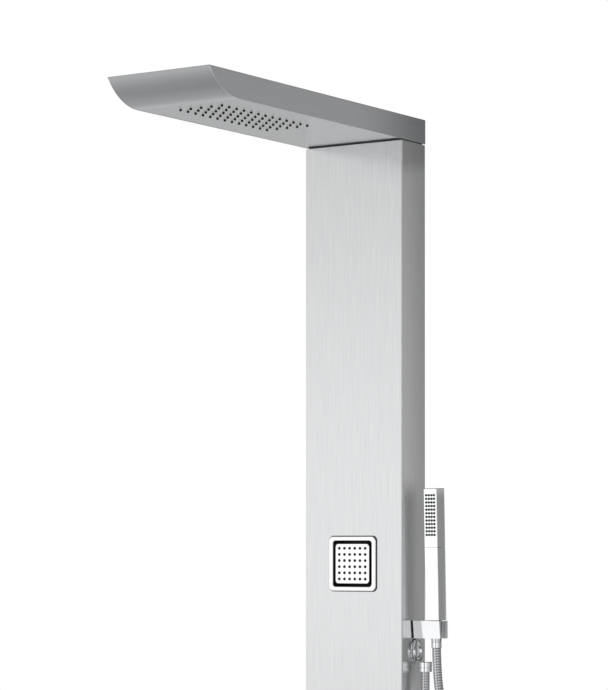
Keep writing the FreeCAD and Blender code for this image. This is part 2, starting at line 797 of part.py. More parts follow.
def make_outlet():
    """Rosette and elbow on the column's side, its tail and lock nut inside, and the hose's nut."""
    outlet_end = elbow_z - elbow_bend - elbow_end
    bevel = elbow_bend * (1 - math.tan(math.pi / 8))
    route = [
        Vector(column_side, pipe_y, elbow_z),
        Vector(hose_outlet_x - bevel, pipe_y, elbow_z),
        Vector(hose_outlet_x, pipe_y, elbow_z - bevel),
        Vector(hose_outlet_x, pipe_y, outlet_end),
    ]
    section = ring(elbow_sides, elbow_radius, route[0], (1, 0, 0))
    section = Part.makePolygon(section + section[:1])
    elbow = Part.makePolygon(route).makePipeShell([section], True, False, 1)
    rosette = prism(rosette_sides, rosette_radius, route[0],
                    (column_side + rosette_thickness, pipe_y, elbow_z))
    tail = prism(hidden_sides, elbow_tail_radius, (column_side - elbow_tail, pipe_y, elbow_z), route[0])
    save("outlet_elbow", elbow.fuse([rosette, tail]))

    nut_face = inner_side - lock_nut_thickness
    nut = prism(hex_sides, lock_nut_across, (nut_face, pipe_y, elbow_z), (inner_side, pipe_y, elbow_z))
    bore = prism(hidden_sides, elbow_tail_radius + screw_clearance, (nut_face, pipe_y, elbow_z),
                 (inner_side, pipe_y, elbow_z))
    save("elbow_lock_nut", nut.cut(bore))
    save("hose_end_nut", prism(cone_sides, end_nut_radius,
                               (hose_outlet_x, pipe_y, outlet_end - end_nut_length),
                               (hose_outlet_x, pipe_y, outlet_end)))

    block_bottom = elbow_z - fitting_half
    save("handset_feed_elbow", box(handset_pipe_x - fitting_half, column_side - elbow_tail,
                                   pipe_y - fitting_half, pipe_y + fitting_half,
                                   block_bottom, elbow_z + fitting_half))
    save("handset_feed_pipe", pipe(
                                  (handset_pipe_x, pipe_y, diverter_z + diverter_half_height),
                                  (handset_pipe_x, pipe_y, block_bottom)))


def arc_path(points):
    """Straight runs joined by tangent arcs, each of which takes bend_share of its shorter run."""
    corners = [Vector(*p) for p in points]
    edges, radii = [], []
    here = corners[0]
    for before, corner, after in zip(corners, corners[1:], corners[2:]):
        run_in = (corner - before).normalize()
        run_out = (after - corner).normalize()
        half_turn = math.acos(max(-1.0, min(1.0, run_in.dot(run_out)))) / 2
        cut_back = bend_share * min((corner - before).Length, (after - corner).Length)
        radius = cut_back / math.tan(half_turn)
        start = corner - run_in * cut_back
        end = corner + run_out * cut_back
        inward = (run_out - run_in).normalize()
        middle = corner + inward * (radius / math.cos(half_turn) - radius)
        edges.append(Part.LineSegment(here, start).toShape())
        edges.append(Part.Arc(start, middle, end).toShape())
        radii.append(radius)
        here = end
    edges.append(Part.LineSegment(here, corners[-1]).toShape())
    return Part.Wire(edges), radii


def make_hose():
    path, radii = arc_path(hose_points)
    first = Vector(*hose_points[1]) - Vector(*hose_points[0])
    profile = ring(hose_sides, hose_radius, hose_points[0], first)
    profile = Part.makePolygon(profile + profile[:1])
    hose = path.makePipeShell([profile], True, False)
    print("hose bend radii:", " ".join(f"{r:.0f}" for r in radii))
    print(f"hose length {path.Length:.1f}, volume over section times length",
          f"{hose.Volume / (Part.Face(profile).Area * path.Length):.5f}")
    save("hose", hose)


# ---- controls ----

def make_control(name, z):
    """Escutcheon and cartridge of one control, and its turning knob, which is handed back."""
    escutcheon = square_plate(0, z, escutcheon_half, escutcheon_front, column_front, escutcheon_radius)
    escutcheon = escutcheon.cut(hole(hidden_sides, spindle_radius + spindle_passage,
                                     (0, escutcheon_front, z), (0, column_front, z)))
    save(f"{name}_escutcheon", escutcheon)

    cartridge_back = column_front + cartridge_length
    spindle_end = column_front + spindle_length
    cartridge = prism(sleeve_sides, cartridge_radius, (0, column_front, z), (0, cartridge_back, z))
    cartridge = cartridge.cut(hole(hidden_sides, spindle_radius + spindle_clearance,
                                   (0, column_front, z), (0, spindle_end + spindle_gap, z)))
    save(f"{name}_cartridge", cartridge)

    knob = chamfered_plate(0, z, knob_half, knob_front, knob_back, knob_corner)
    knob = knob.makeChamfer(knob_chamfer, [e for e in knob.Edges if e.BoundBox.YMax < knob_front + near])
    knob = knob.cut(box(-knob_mark_width / 2, knob_mark_width / 2, knob_front,
                        knob_front + knob_mark_depth, z + knob_half - knob_mark_length,
                        z + knob_half))
    return knob.fuse(prism(hidden_sides, spindle_radius, (0, knob_back, z), (0, spindle_end, z)))


def sleeve(z, back):
    """The sleeve that a valve reaches the front with."""
    return prism(sleeve_sides, sleeve_radius, (0, column_front, z), (0, back, z))


def cartridge_bore(z):
    return hole(sleeve_sides, cartridge_radius + sleeve_clearance, (0, column_front, z),
                (0, column_front + cartridge_length, z))


def make_controls():
    save("diverter_knob", make_control("diverter", diverter_z))

    knob = make_control("temperature", temperature_z)
    knob_top = temperature_z + knob_half
    button_y = (knob_front + knob_back) / 2
    side = button_half_width + button_clearance
    depth = button_half_depth + button_clearance
    pocket = box(-side, side, button_y - depth, button_y + depth, knob_top - button_pocket, knob_top)
    save("temperature_knob", knob.cut(pocket))
    save("stop_button", box(-button_half_width, button_half_width, button_y - button_half_depth,
                            button_y + button_half_depth, knob_top + button_proud - button_height,
                            knob_top + button_proud))

    diverter = box(-diverter_half_width, diverter_half_width, -diverter_front, -diverter_back,
                   diverter_z - diverter_half_height, diverter_z + diverter_half_height)
    diverter = diverter.fuse(sleeve(diverter_z, -diverter_front))
    save("diverter_body", diverter.cut(cartridge_bore(diverter_z)))

    body = box(-valve_half_width, valve_half_width, pipe_y - valve_half_depth,
               pipe_y + valve_half_depth, temperature_z - valve_half_height,
               temperature_z + valve_half_height)
    inlets = [rod(inlet_radius, (x, pipe_y + valve_half_depth, temperature_z),
                  (x, -inlet_end, temperature_z)) for x in (-inlet_x, inlet_x)]
    body = body.fuse([sleeve(temperature_z, pipe_y - valve_half_depth)] + inlets)
    save("valve_body", body.cut(cartridge_bore(temperature_z)))
    save("mixer_pipe", pipe((0, pipe_y, temperature_z + valve_half_height),
                           (0, pipe_y, diverter_z - diverter_half_height)))

    nuts = []
    for z in (diverter_z, temperature_z):
        ends = (0, inner_front, z), (0, inner_front + control_nut_thickness, z)
        nut = prism(hex_sides, control_nut_across, *ends)
        nuts.append(nut.cut(prism(sleeve_sides, sleeve_radius + screw_clearance, *ends)))
    save("control_lock_nuts", *nuts)


os.makedirs("parts", exist_ok=True)
make_column()
make_wall_fixings()
make_arm()
make_rain_outlet()
make_arm_fixing()
for jet_name in jet_names:
    make_jet(jet_name)
make_jet_feed()
make_handset()
make_hose_end()
make_holder()
make_outlet()
make_hose()
make_controls()
print(node_count, "nodes")
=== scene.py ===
import json
import math

import bmesh
import bpy
from mathutils import Matrix, Vector


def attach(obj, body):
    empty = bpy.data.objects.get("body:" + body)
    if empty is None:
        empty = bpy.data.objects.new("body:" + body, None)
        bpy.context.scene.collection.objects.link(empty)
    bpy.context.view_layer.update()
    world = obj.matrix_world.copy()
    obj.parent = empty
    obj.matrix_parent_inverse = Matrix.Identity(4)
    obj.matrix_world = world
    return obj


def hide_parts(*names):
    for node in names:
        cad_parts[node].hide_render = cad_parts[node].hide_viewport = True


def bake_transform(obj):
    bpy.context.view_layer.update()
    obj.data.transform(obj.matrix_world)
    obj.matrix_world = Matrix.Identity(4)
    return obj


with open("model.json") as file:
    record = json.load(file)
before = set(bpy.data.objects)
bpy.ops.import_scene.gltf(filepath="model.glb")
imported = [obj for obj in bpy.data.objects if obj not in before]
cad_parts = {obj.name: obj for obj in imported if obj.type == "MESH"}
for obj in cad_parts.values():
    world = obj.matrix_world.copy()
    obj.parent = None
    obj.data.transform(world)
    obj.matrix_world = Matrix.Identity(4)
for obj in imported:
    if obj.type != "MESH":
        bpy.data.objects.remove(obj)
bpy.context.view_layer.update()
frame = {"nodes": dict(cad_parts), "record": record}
nodes = frame["nodes"]
print("stage: frame loaded with", len(nodes), "parts")


# camera: solved from the straight edges of the photo

camera = {
    "place": (2.2506, -3.5722, -0.4830),
    "yaw": 33.79,             # degrees to the left of straight ahead
    "lens": 138.26,
    "sensor": 36,
    "shiftUp": 0.2929,
    "clipEnd": 200,
}


def makeCamera():
    bpy.ops.object.camera_add(location=camera["place"],
                              rotation=(math.radians(90), 0, math.radians(camera["yaw"])))
    made = bpy.context.object
    made.data.lens = camera["lens"]
    made.data.sensor_width = camera["sensor"]
    made.data.shift_y = camera["shiftUp"]
    made.data.clip_end = camera["clipEnd"]
    bpy.context.scene.camera = made


makeCamera()


# modelling helpers

near, far = 0.001, 0.01       # how far a cutter runs past the faces that it cuts
flush = 0.00001               # how far a vertex may be from a plane that it lies in
weld = 0.000002               # vertices this near to each other become one


def deselectAll():
    if bpy.context.object and bpy.context.object.mode != "OBJECT":
        bpy.ops.object.mode_set(mode="OBJECT")
    bpy.ops.object.select_all(action="DESELECT")


def activate(piece):
    deselectAll()
    piece.select_set(True)
    bpy.context.view_layer.objects.active = piece


def settle(piece):
    activate(piece)
    bpy.ops.object.transform_apply(location=True, rotation=True, scale=True)


def block(name, low, high):
    low, high = Vector(low), Vector(high)
    deselectAll()
    bpy.ops.mesh.primitive_cube_add(size=1, location=(low + high) / 2)
    piece = bpy.context.object
    piece.name = name
    piece.scale = high - low
    settle(piece)
    return piece


def roundBar(name, radius, start, end, sides=40, endRadius=None):
    start, end = Vector(start), Vector(end)
    deselectAll()
    bpy.ops.mesh.primitive_cone_add(vertices=sides, radius1=radius, location=(start + end) / 2,
                                    radius2=radius if endRadius is None else endRadius,
                                    depth=(end - start).length)
    piece = bpy.context.object
    piece.name = name
    piece.rotation_mode = "QUATERNION"
    piece.rotation_quaternion = (end - start).to_track_quat("Z", "Y")
    settle(piece)
    return piece


def pick(piece, mode, test):
    activate(piece)
    bpy.ops.object.mode_set(mode="EDIT")
    bpy.ops.mesh.select_mode(type=mode)
    bpy.ops.mesh.select_all(action="DESELECT")
    mesh = bmesh.from_edit_mesh(piece.data)
    for part in {"VERT": mesh.verts, "EDGE": mesh.edges, "FACE": mesh.faces}[mode]:
        if test(part):
            part.select = True
    mesh.select_flush_mode()
    bmesh.update_edit_mesh(piece.data)


def leaveEdit():
    bpy.ops.object.mode_set(mode="OBJECT")


def along(axis):
    # a test for edges that run along the axis
    direction = Vector(axis)

    def test(edge):
        run = edge.verts[1].co - edge.verts[0].co
        return run.length > 0 and abs(run.normalized().dot(direction)) > 0.99
    return test


def facing(axis):
    # a test for faces that look along the axis
    direction = Vector(axis)
    return lambda face: face.normal.dot(direction) > 0.99


def roundCorners(piece, axis, radius, segments=6):
    pick(piece, "EDGE", along(axis))
    bpy.ops.mesh.bevel(offset=radius, segments=segments, affect="EDGES")
    leaveEdit()


def modify(piece, kind, **settings):
    activate(piece)
    modifier = piece.modifiers.new(kind.title(), kind)
    for name, value in settings.items():
        setattr(modifier, name, value)
    bpy.ops.object.modifier_apply(modifier=modifier.name)


def soften(piece, width, segments, angle=50):
    # round all edges that are sharper than the angle
    modify(piece, "BEVEL", width=width, segments=segments, limit_method="ANGLE",
           angle_limit=math.radians(angle))
    smooth(piece)


def smooth(piece, angle=35):
    # smooth over the rounded edges, with the flat faces kept flat
    activate(piece)
    bpy.ops.object.shade_smooth_by_angle(angle=math.radians(angle))
    modify(piece, "WEIGHTED_NORMAL", mode="FACE_AREA", weight=100, keep_sharp=True)


def cutAway(piece, *cutters):
    for cutter in cutters:
        modify(piece, "BOOLEAN", operation="DIFFERENCE", solver="EXACT", object=cutter)
        bpy.data.objects.remove(cutter)


def join(piece, *others):
    activate(piece)
    for other in others:
        other.select_set(True)
    bpy.context.view_layer.objects.active = piece
    bpy.ops.object.join()


def copyOf(piece, name, shift=(0, 0, 0)):
    made = piece.copy()
    made.data = piece.data.copy()
    made.name = name
    made.data.name = name
    made.data.transform(Matrix.Translation(Vector(shift)))
    bpy.context.scene.collection.objects.link(made)
    return made


def tilt(piece, pivot, axis, degrees):
    pivot = Vector(pivot)
    turn = Matrix.Translation(pivot) @ Matrix.Rotation(math.radians(degrees), 4, Vector(axis))
    piece.data.transform(turn @ Matrix.Translation(-pivot))


def tidyNormals(piece):
    activate(piece)
    bpy.ops.object.mode_set(mode="EDIT")
    bpy.ops.mesh.select_all(action="SELECT")
    bpy.ops.mesh.remove_doubles(threshold=weld)
    bpy.ops.mesh.normals_make_consistent(inside=False)
    leaveEdit()


def drawLine(name, places):
    # a line of edges through the places, in a new piece that stays in edit mode
    deselectAll()
    bpy.ops.mesh.primitive_plane_add(size=near)
    piece = bpy.context.object
    piece.name = name
    bpy.ops.object.mode_set(mode="EDIT")
    bpy.ops.mesh.select_mode(type="VERT")
    bpy.ops.mesh.select_all(action="SELECT")
    bpy.ops.mesh.merge(type="CENTER")
    here = Vector(places[0])
    bpy.ops.transform.translate(value=here)
    for place in places[1:]:
        there = Vector(place)
        bpy.ops.mesh.extrude_vertices_move(TRANSFORM_OT_translate={"value": there - here})
        here = there
    return piece


def lathe(name, outline, foot, axis=(0, 0, 1), steps=48):
    # the outline holds radius and height, and turns round the axis through the foot
    piece = drawLine(name, [(radius, 0, height) for radius, height in outline])
    leaveEdit()
    modify(piece, "SCREW", axis="Z", steps=steps, render_steps=steps, use_merge_vertices=True,
           merge_threshold=weld)
    tidyNormals(piece)
    piece.rotation_mode = "QUATERNION"
    piece.rotation_quaternion = Vector(axis).to_track_quat("Z", "Y")
    piece.location = foot
    settle(piece)
    return piece


def finishPiece(piece, body, finish, replaced=()):
    # a blended piece has no body of its own, and a piece that no CAD node stands for replaces nothing
    piece.data.materials.clear()
    piece.data.materials.append(finish)
    if body:
        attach(piece, body)
    if replaced:
        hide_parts(*replaced)


# shader helpers

class Wire:
    def __init__(self, tree, node, output=0):
        self.tree = tree
        self.node = node
        self.output = output

    def __getitem__(self, output):
        return Wire(self.tree, self.node, output)

    def math(self, operation, first, second):
        return self.tree.add("ShaderNodeMath", {"operation": operation}, {0: first, 1: second})

    def __add__(self, other):
        return self.math("ADD", self, other)

    def __radd__(self, other):
        return self.math("ADD", other, self)

    def __sub__(self, other):
        return self.math("SUBTRACT", self, other)

    def __rsub__(self, other):
        return self.math("SUBTRACT", other, self)

    def __mul__(self, other):
        return self.math("MULTIPLY", self, other)

    def __rmul__(self, other):
        return self.math("MULTIPLY", other, self)


class Tree:
    def __init__(self, owner):
        owner.use_nodes = True
        self.nodes = owner.node_tree.nodes
        self.links = owner.node_tree.links
        self.nodes.clear()

    def add(self, kind, settings=None, inputs=None, output=0):
        node = self.nodes.new(kind)
        for name, value in (settings or {}).items():
            setattr(node, name, value)
        for name, value in (inputs or {}).items():
            if isinstance(value, Wire):
                self.links.new(value.node.outputs[value.output], node.inputs[name])
            else:
                node.inputs[name].default_value = value
        return Wire(self, node, output)

    def ramp(self, value, stops):
        # a curve of values through the stops, each a place and a level
        made = self.add("ShaderNodeValToRGB", {}, {"Fac": value})
        elements = made.node.color_ramp.elements
        for place, level in stops[1:-1]:
            elements.new(place).color = (level, level, level, 1)
        for element, (place, level) in ((elements[0], stops[0]), (elements[-1], stops[-1])):
            element.position = place
            element.color = (level, level, level, 1)
        return made

    def mixColour(self, factor, first, second):
        return self.add("ShaderNodeMix", {"data_type": "RGBA"}, {0: factor, 6: first, 7: second}, 2)

    def range(self, value, fromLow, fromHigh, toLow, toHigh, kind="LINEAR"):
        return self.add("ShaderNodeMapRange", {"interpolation_type": kind},
                        {"Value": value, "From Min": fromLow, "From Max": fromHigh,
                         "To Min": toLow, "To Max": toHigh})

    def objectPlace(self, scale=(1, 1, 1)):
        place = self.add("ShaderNodeTexCoord", output="Object")
        return self.add("ShaderNodeMapping", {}, {"Vector": place, "Scale": scale})

    def noise(self, place, scale, detail=3.0, roughness=0.5):
        return self.add("ShaderNodeTexNoise", {}, {"Vector": place, "Scale": scale, "Detail": detail,
                                                   "Roughness": roughness})

    def bump(self, height, strength, distance):
        return self.add("ShaderNodeBump", {}, {"Height": height, "Strength": strength,
                                               "Distance": distance})

    def surface(self, inputs):
        shader = self.add("ShaderNodeBsdfPrincipled", {}, inputs)
        self.add("ShaderNodeOutputMaterial", {}, {"Surface": shader})


def rgb(red, green, blue):
    return (red, green, blue, 1)


# finishes

usual = (0.3, 0.7)             # most values of a noise pattern lie between these

steelLook = {
    "rough": 0.22,
    "roughChange": 0.10,
    "streak": (0.07, 0.0017),  # metres along and across one streak
    "hair": (0.05, 0.0006),    # and one of the fine lines in it
    "streakTone": 0.7,         # the streaks' share in the colour and in the roughness
    "streakRough": 0.4,
    "hairStrength": 0.25,
    "hairDepth": 0.00004,
}


def brushedSteel(name, grain, dark, light):
    # grain says for x, y and z whether the brushing runs along that axis
    finish = bpy.data.materials.new(name)
    tree = Tree(finish)

    def lines(size, detail, roughness=0.5):
        along, across = size
        scale = tuple(1 / (along if brushed else across) for brushed in grain)
        return tree.noise(tree.objectPlace(scale), 1.0, detail, roughness)

    streaks = lines(steelLook["streak"], 4.0, 0.6)
    hairs = lines(steelLook["hair"], 2.0)
    inTone, inRough = steelLook["streakTone"], steelLook["streakRough"]
    tone = tree.range(streaks * inTone + hairs * (1 - inTone), *usual, 0.0, 1.0)
    uneven = (hairs * (1 - inRough) + streaks * inRough - 0.5) * steelLook["roughChange"]
    tree.surface({"Base Color": tree.mixColour(tone, dark, light),
                  "Metallic": 1.0,
                  "Roughness": steelLook["rough"] + uneven,
                  "Normal": tree.bump(hairs, steelLook["hairStrength"], steelLook["hairDepth"])})
    return finish


polishLook = {
    "filmScale": 35.0,        # patches, per metre
    "filmShade": 0.97,
    "grainScale": 900.0,
    "grainStrength": 0.02,
    "grainDepth": 0.00002,
}

machinedLook = {
    "blotchScale": 60.0,
    "blotchShade": 0.7,
    "smoother": 0.08,         # how far the roughness falls and rises from its mean
    "rougher": 0.1,
    "grainStrength": 0.15,
    "grainDepth": 0.00008,
}

plasticLook = {
    "blotchScale": 25.0,
    "blotchShade": 0.82,
    "smoother": 0.05,
    "rougher": 0.08,
    "grainScale": 1200.0,
    "grainStrength": 0.25,
    "grainDepth": 0.00006,
    "specular": 0.4,
}


def shaded(colour, share):
    return tuple(share * level for level in colour[:3]) + (1,)


def polished(name, colour, rough, smear=0.03):
    finish = bpy.data.materials.new(name)
    tree = Tree(finish)
    place = tree.objectPlace()
    film = tree.noise(place, polishLook["filmScale"], 3.0, 0.55)
    fine = tree.noise(place, polishLook["grainScale"], 2.0)
    duller = shaded(colour, polishLook["filmShade"])
    tree.surface({"Base Color": tree.mixColour(film, duller, colour),
                  "Metallic": 1.0,
                  "Roughness": tree.range(film, *usual, rough, rough + smear),
                  "Normal": tree.bump(fine, polishLook["grainStrength"], polishLook["grainDepth"])})
    return finish


def machinedMetal(name, colour, rough, grain=700.0):
    finish = bpy.data.materials.new(name)
    tree = Tree(finish)
    place = tree.objectPlace()
    blotch = tree.noise(place, machinedLook["blotchScale"], 4.0, 0.6)
    fine = tree.noise(place, grain, 2.0)
    tone = tree.range(blotch, 0.35, 0.65, 0.0, 1.0)
    darker = shaded(colour, machinedLook["blotchShade"])
    tree.surface({"Base Color": tree.mixColour(tone, darker, colour),
                  "Metallic": 1.0,
                  "Roughness": tree.range(blotch, *usual, rough - machinedLook["smoother"],
                                          rough + machinedLook["rougher"]),
                  "Normal": tree.bump(fine, machinedLook["grainStrength"], machinedLook["grainDepth"])})
    return finish


def mouldedPlastic(name, colour, rough):
    finish = bpy.data.materials.new(name)
    tree = Tree(finish)
    place = tree.objectPlace()
    blotch = tree.noise(place, plasticLook["blotchScale"], 3.0)
    fine = tree.noise(place, plasticLook["grainScale"], 2.0)
    darker = shaded(colour, plasticLook["blotchShade"])
    tree.surface({"Base Color": tree.mixColour(blotch, darker, colour),
                  "Roughness": tree.range(blotch, *usual, rough - plasticLook["smoother"],
                                          rough + plasticLook["rougher"]),
                  "Specular IOR Level": plasticLook["specular"],
                  "Normal": tree.bump(fine, plasticLook["grainStrength"], plasticLook["grainDepth"])})
    return finish


columnSteel = brushedSteel("columnSteel", (False, False, True), rgb(0.685, 0.69, 0.70),
                           rgb(0.785, 0.79, 0.795))
# the arm's steel: the column's brushed steel, brushed along y, with a darker colour that is painted
# shade
shadedArmSteel = brushedSteel("shadedArmSteel", (False, True, False), rgb(0.625, 0.635, 0.65),
                        rgb(0.705, 0.715, 0.73))
chrome = polished("chrome", rgb(0.93, 0.94, 0.95), 0.06)
hoseSteel = polished("hoseSteel", rgb(0.80, 0.81, 0.83), 0.16, 0.06)
brass = machinedMetal("brass", rgb(0.74, 0.57, 0.30), 0.34)
zincSteel = machinedMetal("zincSteel", rgb(0.60, 0.62, 0.64), 0.38, 500.0)
silicone = mouldedPlastic("silicone", rgb(0.02, 0.02, 0.022), 0.6)
spacerRubber = mouldedPlastic("spacerRubber", rgb(0.16, 0.16, 0.165), 0.6)
# black rubber for the jets' seats and the holder's part against the column: real seals whose dark rims
# are also painted shade for the shadow of the gaps
sealAndShadeRubber = mouldedPlastic("sealAndShadeRubber", rgb(0.03, 0.03, 0.032), 0.6)
blackPlastic = mouldedPlastic("blackPlastic", rgb(0.035, 0.035, 0.038), 0.45)
whitePipe = mouldedPlastic("whitePipe", rgb(0.78, 0.78, 0.75), 0.40)
print("stage: finishes made")

slotFinishes = {
    "brushed_steel": columnSteel, "chrome": chrome, "silicone": silicone,
    "spacer_rubber": spacerRubber, "brass": brass, "pipe_plastic": whitePipe,
    "black_plastic": blackPlastic, "zinc_steel": zincSteel, "hose_steel": hoseSteel,
}


def dressNodes():
    # the CAD nodes keep their shapes and get these finishes
    for entry in frame["record"]["subparts"]:
        node = nodes[entry["node"]]
        finish = slotFinishes[entry["material_slot"]]
        # the arm's brushed steel nodes take the darker copy, whose darker colour is painted shade
        if entry["node"].startswith("arm_") and entry["material_slot"] == "brushed_steel":
            finish = shadedArmSteel
        node.data.materials.clear()
        node.data.materials.append(finish)


dressNodes()


# hose: a spiral-wound steel hose from the outlet down, round and up to the handset

hoseLook = {
    "radius": 0.007,
    "groove": 0.0007,          # depth of the groove between two turns
    "pitch": 0.0042,
    "sides": 20,
    "ringsPerTurn": 5,
    "curveSteps": 40,
    "length": 1.5,
}

hosePoints = [
    (0.1080, -0.0300, -0.6780),
    (0.1080, -0.0300, -0.7240),
    (0.1066, -0.0310, -0.7990),
    (0.1050, -0.0335, -0.9150),
    (0.1044, -0.0370, -1.0500),
    (0.1036, -0.0410, -1.1940),
    (0.1050, -0.0435, -1.2770),
    (0.1215, -0.0455, -1.3180),
    (0.1510, -0.0475, -1.3440),
    (0.1890, -0.0490, -1.3530),
    (0.2270, -0.0495, -1.3440),
    (0.2565, -0.0490, -1.3180),
    (0.2725, -0.0475, -1.2780),
    (0.2740, -0.0450, -1.2200),
    (0.2620, -0.0420, -1.1290),
    (0.2320, -0.0380, -1.0190),
    (0.1920, -0.0340, -0.9070),
    (0.1580, -0.0305, -0.8030),
    (0.1370, -0.0279, -0.7330),
    (0.1270, -0.0261, -0.6840),
    (0.1270, -0.02755, -0.6400),
]


def splineLine(points):
    curve = bpy.data.curves.new("hoseRoute", "CURVE")
    curve.dimensions = "3D"
    curve.resolution_u = hoseLook["curveSteps"]
    spline = curve.splines.new("NURBS")
    spline.points.add(len(points) - 1)
    for point, place in zip(spline.points, points):
        point.co = (*place, 1)
    spline.order_u = 3
    spline.use_endpoint_u = True
    route = bpy.data.objects.new("hoseRoute", curve)
    bpy.context.scene.collection.objects.link(route)
    bpy.context.view_layer.update()
    mesh = bpy.data.meshes.new_from_object(route.evaluated_get(bpy.context.evaluated_depsgraph_get()))
    line = [vertex.co.copy() for vertex in mesh.vertices]
    bpy.data.objects.remove(route)
    bpy.data.meshes.remove(mesh)
    return line


def evenly(line, step):
    # places about one step apart along the line
    lengths = [0.0]
    for before, after in zip(line, line[1:]):
        lengths.append(lengths[-1] + (after - before).length)
    count = round(lengths[-1] / step)
    spaced, index = [], 0
    for i in range(count + 1):
        reach = lengths[-1] * i / count
        while index < len(lengths) - 2 and lengths[index + 1] < reach:
            index += 1
        share = (reach - lengths[index]) / (lengths[index + 1] - lengths[index])
        spaced.append(line[index].lerp(line[index + 1], share))
    return spaced


def makeHose():
    line = evenly(splineLine(hosePoints), hoseLook["pitch"] / hoseLook["ringsPerTurn"])
    sides = hoseLook["sides"]
    across = Vector((0, 1, 0))
    vertices, faces = [], []
    for i, centre in enumerate(line):
        tangent = (line[min(i + 1, len(line) - 1)] - line[max(i - 1, 0)]).normalized()
        across = (across - tangent * across.dot(tangent)).normalized()
        upright = tangent.cross(across)
        for k in range(sides):
            turn = (i / hoseLook["ringsPerTurn"] - k / sides) % 1
            depth = max(0.0, math.cos(2 * math.pi * turn)) ** 2
            radius = hoseLook["radius"] - hoseLook["groove"] * depth
            angle = 2 * math.pi * k / sides
            vertices.append(centre + across * radius * math.cos(angle)
                            + upright * radius * math.sin(angle))
    for i in range(len(line) - 1):
        ring, nextRing = i * sides, (i + 1) * sides
        for k in range(sides):
            after = (k + 1) % sides
            faces.append((ring + k, ring + after, nextRing + after, nextRing + k))
    faces.append(tuple(range(sides))[::-1])
    faces.append(tuple((len(line) - 1) * sides + k for k in range(sides)))
    mesh = bpy.data.meshes.new("hoseTube")
    mesh.from_pydata(vertices, [], faces)
    hose = bpy.data.objects.new("hoseTube", mesh)
    bpy.context.scene.collection.objects.link(hose)
    tidyNormals(hose)
    smooth(hose, 60)
    finishPiece(hose, None, hoseSteel, ["hose"])
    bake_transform(hose)
    return hose, line[::hoseLook["ringsPerTurn"]]


hoseTube, hoseLine = makeHose()
print("stage: hose made")


# overhead arm

arm = {
    "half": 0.090,
    "bottom": 0.151,
    "top": 0.189,
    "nose": -0.580,
    "noseStart": -0.509,      # where the underside leaves the flat and curves up
    "noseSteps": 28,
    "sheet": 0.0012,
    "reveal": 0.0003,         # the side sheets stand this far below the underside
    "foldRadius": 0.0009,
    "edge": 0.00025,
}


def noseOutline(inset, top):
    # points of the nose's arc in y and z, from the flat underside up to the height of top
    run = arm["noseStart"] - arm["nose"]
    rise = arm["top"] - arm["bottom"]
    radius = (run ** 2 + rise ** 2) / (2 * rise)
    centre = arm["bottom"] + radius
    radius -= inset
    last = math.acos((centre - top) / radius)
    angles = [last * i / arm["noseSteps"] for i in range(arm["noseSteps"] + 1)]
    return [(arm["noseStart"] - radius * math.sin(a), centre - radius * math.cos(a)) for a in angles]


def sheetOf(name, outline, left, right):
    # a solid with the outline in y and z, from left to right along x
    piece = drawLine(name, [(left, y, z) for y, z in outline])
    bpy.ops.mesh.select_all(action="SELECT")
    bpy.ops.mesh.edge_face_add()
    bpy.ops.mesh.extrude_region_move(TRANSFORM_OT_translate={"value": (right - left, 0, 0)})
    leaveEdit()
    tidyNormals(piece)
    return piece


def makeArmShell():
    outline = [(0, arm["bottom"])] + noseOutline(0, arm["top"]) + [(0, arm["top"])]
    shell = sheetOf("armShell", outline, -arm["half"], arm["half"])
    pick(shell, "EDGE", lambda edge: along((0, 1, 0))(edge) and edge.verts[0].co.z > arm["top"] - near)
    bpy.ops.mesh.bevel(offset=arm["foldRadius"], segments=4, affect="EDGES")
    leaveEdit()
    inside, underLid = arm["half"] - arm["sheet"], arm["top"] - arm["sheet"]
    cutAway(shell, block("hollow", (-inside, arm["nose"] - far, arm["bottom"] - far),
                         (inside, -arm["sheet"], underLid)))
    soften(shell, arm["edge"], 2)
    finishPiece(shell, "panel", shadedArmSteel, ["arm_shell"])

    def onNoseEdge(face):
        middle = face.calc_center_median()
        return (abs(face.normal.x) < 0.9 and abs(middle.x) > inside
                and middle.y < arm["noseStart"] and middle.z < underLid)

    # the cut edges of the two side sheets along the nose get chrome as a painted highlight
    shell.data.materials.append(chrome)
    pick(shell, "FACE", onNoseEdge)
    shell.active_material_index = 1
    bpy.ops.object.material_slot_assign()
    leaveEdit()


rain = {
    "columns": 5,
    "rows": 13,
    "pitch": 0.0184,
    "first": -0.476,          # the row nearest to the nose
    "holeRadius": 0.0023,
    "stemRadius": 0.0020,
    "tip": [(0.0, 0.0002), (0.0020, 0.0002), (0.0020, -0.0010), (0.0018, -0.0016),
            (0.0013, -0.0019), (0.0008, -0.0019), (0.0006, -0.0011), (0.0, -0.0011)],
    "chamberHalf": 0.070,     # the mat fills the rain chamber's width, and its length on y
    "chamberEnds": (-0.486, -0.2452),
    "mat": 0.002,
}

# openings over the column: two corners in x and y, and the middle of the first bolt's hole
armOpenings = {
    "riser": ((-0.069, -0.037), (-0.055, -0.023)),
    "post": ((-0.0363, -0.0563), (0.0363, -0.0137)),
    "bolt": (-0.043, -0.035),
    "boltRadius": 0.0034,
    "boltSpacing": 0.086,
}


def gridOf(piece, counts, steps):
    for count, step in zip(counts, steps):
        modify(piece, "ARRAY", count=count, use_relative_offset=False, use_constant_offset=True,
               constant_offset_displace=step)
    return piece


def rainGrid(piece):
    return gridOf(piece, (rain["columns"], rain["rows"]),
                  ((rain["pitch"], 0, 0), (0, rain["pitch"], 0)))


